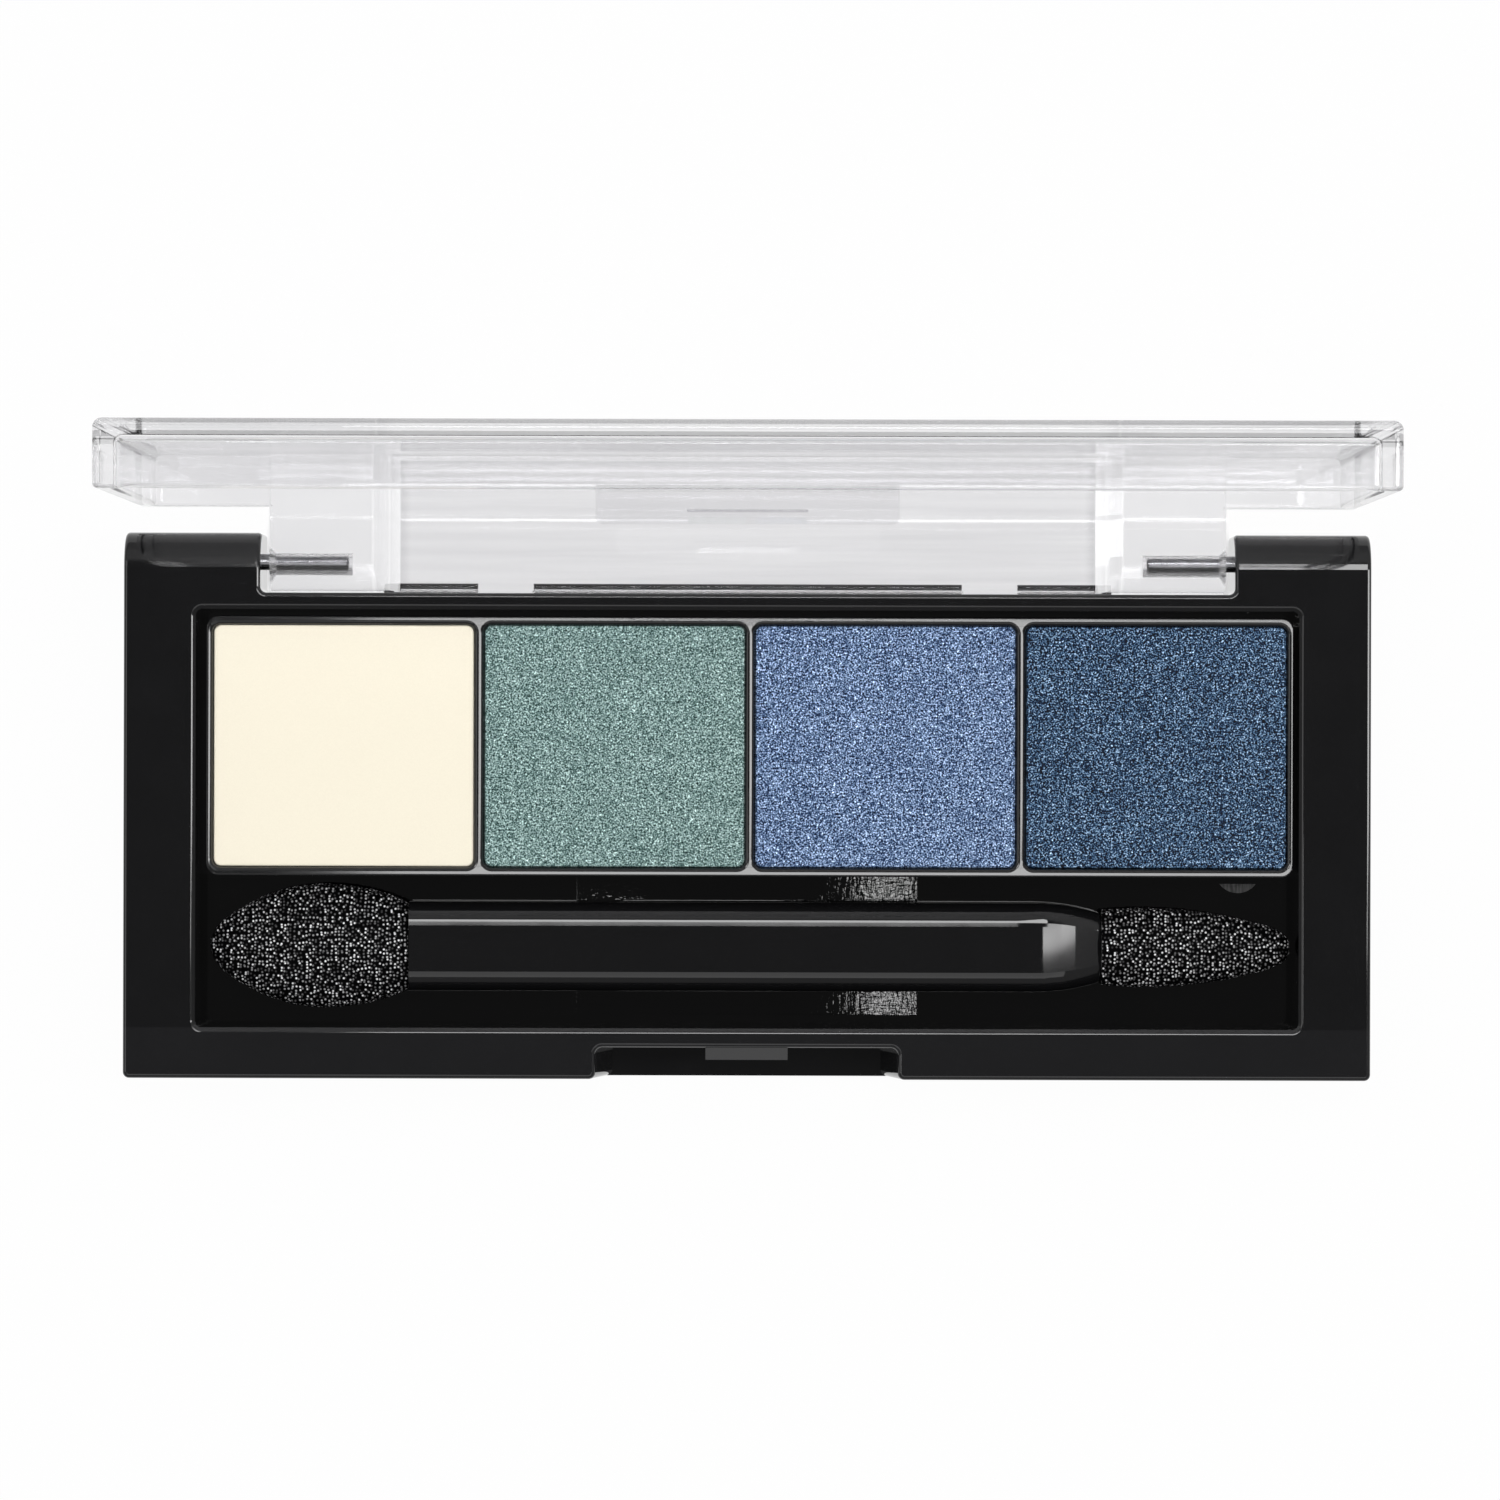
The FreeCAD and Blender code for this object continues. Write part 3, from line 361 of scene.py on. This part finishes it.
def case_finish():
    """The case's gloss: darker by painted shade deep in the trough, paler by a painted sheen on
    the front frame, rippled in the scoop.
    """
    finish, cloud, haze = gloss_black("case_gloss_black", CASE_POLISH)
    x, y, z = finish.axes()
    in_trough = (abs(x) < RECESS_HALF) * (y < TRAY_FRONT) * (y > RECESS_FRONT)
    # Painted shade: the trough floor and the foot of its walls are coloured darker.
    trough_painted_shade = in_trough * (z < TROUGH_FLOOR + TROUGH_SHADE)
    # Painted sheen: the top of the front frame is coloured paler.
    front_painted_sheen = (y < RECESS_FRONT) * (z > FRAME_TOP)
    share = cloud * CASE_CLOUD_SHARE + CASE_SHARE + front_painted_sheen * CASE_FRONT_SHEEN_SHARE
    colour = finish.blend(share * (1.0 - trough_painted_shade), CASE_DEEP, CASE_PALE)
    across, along = x - MARK_X, y - MARK_Y
    distance = (across * across + along * along) ** 0.5
    mark = in_trough * (y < MARK_EDGE) * (distance < MARK_RADIUS)
    scrape = finish.grain(1.0, detail=2.0, stretch=(5000.0, 700.0, 1.0))
    scrape = scrape.ramp(NOISE_LOW, NOISE_HIGH, 0.45, 1.0)
    finish.feed("Base Color", finish.blend(mark * scrape, colour, MARK_GREY))
    in_scoop = in_trough * (z < TROUGH_FLOOR - SCOOP_LIP) * (abs(x) < SCOOP_HALF)
    ripple = finish.grain(1.0, detail=3.0, stretch=(3600.0, 900.0, 1.0))
    hatch = finish.grain(1.0, detail=2.0, stretch=(1600.0, 4200.0, 1.0))
    coarse = x.ramp(SCOOP_SMOOTH_END, SCOOP_COARSE_START, 0.08, 1.0)
    finish.bump(in_scoop * (ripple + hatch * 0.8) * coarse, 0.5, SCOOP_RELIEF)
    finish.feed("Roughness", haze * (1.0 - in_scoop * SCOOP_POLISH))
    return finish.material


def plain_gloss(name, polish):
    """Gloss black of one colour all over."""
    finish, cloud, _ = gloss_black(name, polish)
    finish.feed("Base Color", finish.blend(cloud, PLAIN_DEEP, PLAIN_PALE))
    return finish


def tray_finish():
    """The insert's gloss. Its long ridges lean a little back and the short ones to the right."""
    finish = plain_gloss("tray_gloss_black", TRAY_POLISH)
    x, y, _ = finish.axes()
    between = (y > LONG_RIDGES[0] + RIDGE_HALF) * (y < LONG_RIDGES[1] - RIDGE_HALF)
    heights = [
        (abs(y - place) < RIDGE_HALF) * (place - y) * LONG_LEAN for place in LONG_RIDGES
    ] + [
        between * (abs(x - place) < RIDGE_HALF) * (place - x) * SHORT_LEAN
        for place in SHORT_RIDGES
    ]
    finish.bump(sum(heights), 1.0, 1.0)
    return finish.material


def clear_finish():
    """Clear moulded polystyrene, greyed by painted shade over the hinge plate, its slopes and the
    blocks and along the skirt, with painted dark lines on the skirt and over the hook.

    Lamps shine straight through it. So does a share of the view, which keeps its edges pale. The
    panel bends all of the view but at its rim, so that things under the closed lid show once.
    """
    finish = Finish("lid_clear", IOR=1.52, Transmission_Weight=1.0)
    x, y, z = finish.axes()
    side = abs(x)
    cloud = finish.grain(120.0, detail=2.0)
    streak = finish.grain(1.0, detail=3.0, stretch=(50.0, 1300.0, 1300.0))
    # Painted shade: grey over the hinge plate and its edges, the slopes and the blocks, and along
    # the skirt; painted dark lines on the skirt and over the hook.
    plate_edge_shade = side.ramp(TAPER_START - PLATE_EDGE, TAPER_START)
    plate_painted_shade = (side < TAPER_START) * (y < PANEL_INSIDE)
    plate_painted_shade = plate_painted_shade * (streak * 0.9 + 0.1 + plate_edge_shade * 0.35)
    taper_painted_shade = side.ramp(TAPER_START, BLOCK_START) * (side < BLOCK_START - BLOCK_GAP) * 0.5
    block_painted_shade = (side > BLOCK_START + BLOCK_GAP) * (0.12 + cloud * 0.5)
    skirt_painted_line = y.line(SKIRT_LINE, 0.2 * MM, 0.06 * MM)
    skirt_painted_shade = side.ramp(SKIRT_PALE, SKIRT_GREY) * 0.25 + skirt_painted_line * 0.8
    hook_painted_line = (side < HOOK_HALF) * y.line(HOOK_LINE, 0.14 * MM, 0.05 * MM) * 0.9
    skirt_painted_shade = (y > SKIRT_RIM) * skirt_painted_shade + (y < SKIRT_RIM) * hook_painted_line
    clear = 1.0 - (z < LID_LOW) * (plate_painted_shade + taper_painted_shade + block_painted_shade) - (z > LID_HIGH) * skirt_painted_shade
    finish.feed("Base Color", finish.blend(clear, LID_SHADE_GREY, LID_CLEAR))
    smear = finish.grain(700.0, detail=3.0)
    finish.feed("Roughness", smear.ramp(NOISE_LOW, SMEAR_HIGH, 0.0, SMEAR_ROUGHNESS))
    flow = finish.grain(70.0, detail=1.0, stretch=(1.0, 1.0, 0.4))
    finish.bump(flow, 0.05, FLOW_RELIEF)
    on_panel = y > PANEL_INSIDE - PANEL_GAP
    share = (1.0 - on_panel) * cloud.ramp(NOISE_LOW, NOISE_HIGH, STRAIGHT_LEAST, STRAIGHT_MOST)
    share = share + on_panel * (z > PANEL_RIM) * STRAIGHT_AT_RIM
    straight = finish.add("ShaderNodeBsdfTransparent", None, {"Color": LID_STRAIGHT})
    finish.mix_shader(finish.rays("Is Shadow Ray").at_least(share), straight)
    return finish.material


def handle_finish():
    """The handle's gloss. Its top leans a little to the back along its back edge."""
    finish = plain_gloss("handle_gloss_black", HANDLE_POLISH)
    x, y, _ = finish.axes()
    past = y - HANDLE_LEAN_START
    lean = x.ramp(NOSE_START + 1.5 * MM, NOSE_START - 1.0 * MM, 0.0, HANDLE_LEAN)
    finish.bump(past.at_least(0.0) * lean, 1.0, 1.0)
    return finish.material


def metal_finish(name, dark, pale, rough, stretch):
    """Drawn metal: fine streaks along the way it was drawn."""
    finish = Finish(name, Metallic=1.0)
    streak = finish.grain(1.0, detail=3.0, stretch=stretch)
    finish.feed("Base Color", finish.blend(streak, dark, pale))
    finish.feed("Roughness", streak.ramp(NOISE_LOW, NOISE_HIGH, rough, rough + STREAK_ROUGHNESS))
    finish.bump(streak, 0.08, STREAK_RELIEF)
    return finish.material


def glue_finish():
    """Cured glue, cloudy and uneven."""
    finish = Finish("glue_cured", IOR=1.48, Roughness=0.4)
    cloud = finish.grain(900.0, detail=3.0)
    finish.feed("Base Color", finish.blend(cloud, GLUE_DARK, GLUE_PALE))
    finish.bump(cloud, 0.3, GLUE_RELIEF)
    return finish.material


def powder_finish(name, colour, spread, painted_glints):
    """Pressed powder: grains of pearl lift and lower the colour by about spread of 255 steps, and
    specks of painted glint lift it further.
    """
    finish = Finish(name, Roughness=0.75, Specular_IOR_Level=0.25)
    fine = finish.grain(POWDER_GRAINS, detail=1.5, roughness=0.6)
    broad = finish.grain(POWDER_CLOUDS, detail=2.0)
    step = spread / DISPLAY_STEPS
    swing = (fine - NOISE_MIDDLE) * (step / GRAIN_SPREAD)
    swing = swing + (broad - NOISE_MIDDLE) * (step * CLOUD_SPREAD)
    # Painted glints: bright specks of the shimmer lift the colour.
    lift = swing + finish.grain(POWDER_GLINTS, detail=0.0).ramp(GLINT_LOW, GLINT_HIGH) * painted_glints
    grey_lift = finish.add("ShaderNodeCombineXYZ", None, {"X": lift, "Y": lift, "Z": lift})
    shown = [value / DISPLAY_STEPS for value in colour]
    for operation, other in (("ADD", grey_lift), ("MAXIMUM", POWDER_DARKEST)):
        shown = finish.add("ShaderNodeVectorMath", {"operation": operation}, {0: shown, 1: other})
    shown = finish.add("ShaderNodeGamma", None, {"Color": shown, "Gamma": DISPLAY_GAMMA})
    finish.feed("Base Color", shown)
    finish.bump(fine, 0.12, POWDER_RELIEF)
    return finish.material


def foam_finish():
    """Black open foam: every cell shows a small pale dot of painted glint."""
    finish = Finish("foam_black", Roughness=0.7, Specular_IOR_Level=0.03)
    x, y, z = finish.axes()
    normal = finish.add("ShaderNodeTexCoord", out="Normal")
    up = abs(finish.add("ShaderNodeSeparateXYZ", None, {"Vector": normal}, out="Z")) > 0.5
    place = finish.add("ShaderNodeCombineXYZ", None, {"X": x, "Y": y * up + z * (1.0 - up)})
    flat = {"voronoi_dimensions": "2D"}
    cells = {"Vector": place, "Scale": GLINTS_A_METRE, "Randomness": 0.8}
    near = finish.add("ShaderNodeTexVoronoi", flat, cells, out="Distance")
    lot = finish.add("ShaderNodeTexVoronoi", flat, cells, out="Color")
    draw = finish.add("ShaderNodeSeparateColor", None, {"Color": lot})
    # Painted glint: a pale dot at the heart of every cell.
    foam_glint = near.ramp(GLINT_EDGE, GLINT_CORE) * (draw ** GLINT_FALL * GLINT_MOST + GLINT_LEAST)
    finish.feed("Base Color", finish.blend(foam_glint, FOAM_DEEP, FOAM_PAINTED_GLINT))
    finish.bump(near.ramp(0.6, 0.1), 0.5, FOAM_RELIEF)
    return finish.material


def floor_finish():
    """A pale floor that reads as white and still keeps the object's shadow."""
    finish = Finish("floor_pale", Roughness=0.9, Specular_IOR_Level=0.1)
    finish.feed("Base Color", finish.blend(finish.grain(12.0), FLOOR_DARK, FLOOR_PALE))
    x, y, _ = finish.axes()
    in_notch = (abs(x) < NOTCH_HALF) * (y > 0.0)
    shaded = in_notch * y.ramp(NOTCH_BACK + NOTCH_BLUR, NOTCH_BACK - NOTCH_BLUR)
    seen = finish.rays("Is Camera Ray") * (1.0 - shaded * NOTCH_SHADE)
    mirrored = finish.rays("Is Glossy Ray")
    passed = finish.rays("Is Transmission Ray")
    share = (seen * FLOOR_GLOW).at_least(mirrored * FLOOR_GLOW)
    share = share.at_least(passed * GLOW_THROUGH_LID)
    white = finish.add("ShaderNodeEmission", None, {"Color": WHITE, "Strength": 1.0})
    finish.mix_shader(share, white)
    return finish.material


def link(thing):
    """Puts a new object in the scene."""
    bpy.context.scene.collection.objects.link(thing)
    return thing


def dress(node, material):
    """Gives a CAD node its finish."""
    slots = nodes[node].data.materials
    slots.clear()
    slots.append(material)


def remeshed(node):
    """A finely remeshed copy of a CAD node, as a new object."""
    mesh = nodes[node].data.copy()
    copy = link(bpy.data.objects.new(f"foam_{node}", mesh))
    shape = bmesh.new()
    shape.from_mesh(mesh)
    bmesh.ops.remove_doubles(shape, verts=shape.verts, dist=FOAM_MERGE)
    shape.to_mesh(mesh)
    shape.free()
    remesh = copy.modifiers.new("foam_cells", "REMESH")
    remesh.mode = "VOXEL"
    remesh.voxel_size = FOAM_VOXEL
    graph = bpy.context.evaluated_depsgraph_get()
    fine = bpy.data.meshes.new_from_object(copy.evaluated_get(graph))
    copy.modifiers.clear()
    copy.data = fine
    return copy


def foam_tip(node, material):
    """A foam tip in the shape of its CAD solid, remeshed finely and pitted by its cells."""
    tip = remeshed(node)
    shape = bmesh.new()
    shape.from_mesh(tip.data)
    bmesh.ops.smooth_vert(
        shape, verts=shape.verts, factor=0.5, use_axis_x=True, use_axis_y=True, use_axis_z=True
    )
    shape.normal_update()
    shifts = []
    for vert in shape.verts:
        nearest = noise.voronoi(vert.co * PITS_A_METRE)[0][0]
        shifts.append(vert.normal * (FOAM_PIT * (PIT_MIDDLE - min(nearest, PIT_EDGE))))
    for vert, shift in zip(shape.verts, shifts):
        vert.co += shift
    for face in shape.faces:
        face.smooth = True
    shape.to_mesh(tip.data)
    shape.free()
    tip.data.materials.clear()
    tip.data.materials.append(material)
    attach(tip, "applicator")
    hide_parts(node)


def lay_floor():
    """The floor, just under the object's underside."""
    mesh = bpy.data.meshes.new("floor")
    shape = bmesh.new()
    bmesh.ops.create_grid(shape, x_segments=1, y_segments=1, size=FLOOR_HALF)
    bmesh.ops.translate(shape, verts=shape.verts, vec=(0.0, 0.0, -FLOOR_DROP))
    shape.to_mesh(mesh)
    shape.free()
    mesh.materials.append(floor_finish())
    floor = link(bpy.data.objects.new("floor", mesh))


def light_room():
    """The room's own light, seen in the gloss and through the lid."""
    world = bpy.data.worlds.new("studio")
    world.use_nodes = True
    tree = world.node_tree
    tree.nodes.clear()
    room = Wire(tree, None)
    direction = {"Vector": room.add("ShaderNodeTexCoord", out="Generated")}
    back = room.add("ShaderNodeSeparateXYZ", None, direction, out="Y")
    height = room.add("ShaderNodeSeparateXYZ", None, direction, out="Z")
    behind = back.ramp(-0.15, 0.25, 0.35, 1.0) * height.ramp(0.3, 0.6, 0.6, 1.0)
    level = OVERHEAD + height.ramp(0.97, 0.86, 0.0, BEHIND) * behind
    through = room.add("ShaderNodeLightPath", out="Is Transmission Ray")
    level = level * (1.0 - through) + through * THROUGH_LID
    sky = room.add("ShaderNodeBackground", None, {"Color": WHITE, "Strength": level})
    output = tree.nodes.new("ShaderNodeOutputWorld")
    tree.links.new(sky.socket, output.inputs["Surface"])
    bpy.context.scene.world = world


def light_panel(name, place, size, brightness, aim):
    """A soft light panel of even brightness, turned to the point it is aimed at."""
    lamp = bpy.data.lights.new(name, "AREA")
    lamp.shape = "RECTANGLE"
    lamp.size, lamp.size_y = size
    lamp.energy = brightness * math.pi * lamp.size * lamp.size_y
    holder = link(bpy.data.objects.new(name, lamp))
    holder.location = place
    holder.rotation_euler = (Vector(aim) - Vector(place)).to_track_quat("-Z", "Y").to_euler()


def set_camera():
    """The camera, framed as the photograph is."""
    view = bpy.data.cameras.new("camera")
    view.sensor_fit = "HORIZONTAL"
    view.sensor_width = SENSOR_WIDTH
    view.lens = SENSOR_WIDTH * CAMERA_ABOVE_RIM / FRAME_AT_RIM
    view.clip_start = CLIP_START
    view.clip_end = CLIP_END
    camera = link(bpy.data.objects.new("camera", view))
    camera.location = (*FRAME_CENTRE, RIM_HEIGHT + CAMERA_ABOVE_RIM)
    camera.rotation_euler = (0.0, 0.0, CAMERA_TURN)
    bpy.context.scene.camera = camera
    bpy.context.scene.view_settings.view_transform = "Standard"


dress("base_case", case_finish())
dress("pan_tray", tray_finish())
dress("applicator_handle", handle_finish())
dress("lid", clear_finish())
steel = metal_finish("pin_steel", STEEL_DARK, STEEL_PALE, STEEL_ROUGHNESS, STEEL_STREAKS)
dress("hinge_pin_left", steel)
dress("hinge_pin_right", steel)
pan_metal = metal_finish("pan_aluminium", PAN_DARK, PAN_PALE, PAN_ROUGHNESS, PAN_STREAKS)
glue = glue_finish()
for powder, looks in SHIMMER.items():
    dress(f"pan_{powder}", pan_metal)
    dress(f"glue_{powder}", glue)
    dress(f"powder_{powder}", powder_finish(f"powder_{powder}_pressed", *looks))
foam = foam_finish()
foam_tip("sponge_oval", foam)
foam_tip("sponge_point", foam)

lay_floor()
light_room()
for name, values in LIGHTS.items():
    light_panel(name, *values)
set_camera()

bpy.context.view_layer.update()
